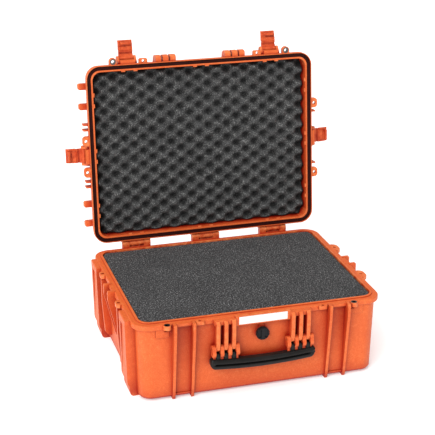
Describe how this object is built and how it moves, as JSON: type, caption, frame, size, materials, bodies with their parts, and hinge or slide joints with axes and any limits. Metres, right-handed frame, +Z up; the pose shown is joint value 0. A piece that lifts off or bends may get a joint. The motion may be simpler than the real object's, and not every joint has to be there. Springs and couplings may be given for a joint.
{
  "type": "hard equipment case",
  "caption": "Waterproof hard equipment case with a hinged lid, double-throw latches, a fold-down handle, a pressure valve and foam in base and lid.",
  "frame": {"origin": "on the surface the case stands on, under the middle of the base, at the middle of the centre foot pad", "axes": "+X to the case's right seen from its front, +Y to the back where the hinges are, +Z up; the case lies on its base with its lid open"},
  "size_m": [0.72, 0.5887, 0.7376],
  "materials": {
    "case_orange": "moulded polypropylene, satin with a fine grain",
    "latch_orange": "moulded plastic, satin",
    "base_foam": "open-cell polyurethane foam, dark grey",
    "lid_foam": "convoluted open-cell foam, dark grey",
    "gasket": "matt black seal",
    "steel": "stainless, satin",
    "grip": "soft moulded grip, satin",
    "valve_black": "moulded plastic, satin",
    "label": "blank white plate"
  },
  "bodies": {
    "base": {"base_shell": "case_orange", "base_foam_top": "base_foam", "base_foam_middle": "base_foam", "base_foam_floor": "base_foam", "hinge_pins": "steel", "base_padlock_eyelets": "steel", "handle_pins": "steel", "valve_body": "valve_black", "valve_o_ring": "gasket", "valve_nut": "valve_black", "label_plate": "label"},
    "lid": {"lid_shell": "case_orange", "lid_gasket": "gasket", "lid_foam": "lid_foam", "lid_padlock_eyelets": "steel", "latch_pivot_pins": "steel"},
    "handle": {"handle_frame": "case_orange", "handle_grip": "grip"},
    "valve_knob": {"valve_knob": "valve_black"},
    "latch_front_left_arm": {"latch_front_left_arm": "latch_orange", "latch_front_left_lever_pin": "steel"},
    "latch_front_left_lever": {"latch_front_left_lever": "latch_orange"},
    "latch_front_right_arm": {"latch_front_right_arm": "latch_orange", "latch_front_right_lever_pin": "steel"},
    "latch_front_right_lever": {"latch_front_right_lever": "latch_orange"},
    "latch_left_arm": {"latch_left_arm": "latch_orange", "latch_left_lever_pin": "steel"},
    "latch_left_lever": {"latch_left_lever": "latch_orange"},
    "latch_right_arm": {"latch_right_arm": "latch_orange", "latch_right_lever_pin": "steel"},
    "latch_right_lever": {"latch_right_lever": "latch_orange"}
  },
  "joints": [
    {"name": "lid_hinge", "type": "hinge", "parent": "base", "child": "lid", "pos_m": [0, 0.2425, 0.211], "axis": [1, 0, 0], "range_deg": [0, 96]},
    {"name": "handle_swing", "type": "hinge", "parent": "base", "child": "handle", "pos_m": [0, -0.247, 0.1255], "axis": [-1, 0, 0], "range_deg": [0, 95]},
    {"name": "valve_turn", "type": "hinge", "parent": "base", "child": "valve_knob", "pos_m": [0, -0.244, 0.15], "axis": [0, -1, 0], "range_deg": [0, 270]},
    {"name": "latch_front_left_swing", "type": "hinge", "parent": "lid", "child": "latch_front_left_arm", "pos_m": [-0.1925, 0.31125, 0.69295], "axis": [1, 0, 0], "range_deg": [0, 90]},
    {"name": "latch_front_left_lever", "type": "hinge", "parent": "latch_front_left_arm", "child": "latch_front_left_lever", "pos_m": [-0.1925, 0.31604, 0.71457], "axis": [-1, 0, 0], "range_deg": [0, 40]},
    {"name": "latch_front_right_swing", "type": "hinge", "parent": "lid", "child": "latch_front_right_arm", "pos_m": [0.1925, 0.31125, 0.69295], "axis": [1, 0, 0], "range_deg": [0, 90]},
    {"name": "latch_front_right_lever", "type": "hinge", "parent": "latch_front_right_arm", "child": "latch_front_right_lever", "pos_m": [0.1925, 0.31604, 0.71457], "axis": [-1, 0, 0], "range_deg": [0, 40]},
    {"name": "latch_left_swing", "type": "hinge", "parent": "lid", "child": "latch_left_arm", "pos_m": [-0.314, 0.28575, 0.45029], "axis": [0, 0.1045, 0.9945], "range_deg": [0, 90]},
    {"name": "latch_left_lever", "type": "hinge", "parent": "latch_left_arm", "child": "latch_left_lever", "pos_m": [-0.336, 0.28824, 0.45003], "axis": [0, -0.1045, -0.9945], "range_deg": [0, 40]},
    {"name": "latch_right_swing", "type": "hinge", "parent": "lid", "child": "latch_right_arm", "pos_m": [0.314, 0.28575, 0.45029], "axis": [0, -0.1045, -0.9945], "range_deg": [0, 90]},
    {"name": "latch_right_lever", "type": "hinge", "parent": "latch_right_arm", "child": "latch_right_lever", "pos_m": [0.336, 0.28824, 0.45003], "axis": [0, 0.1045, 0.9945], "range_deg": [0, 40]}
  ]
}
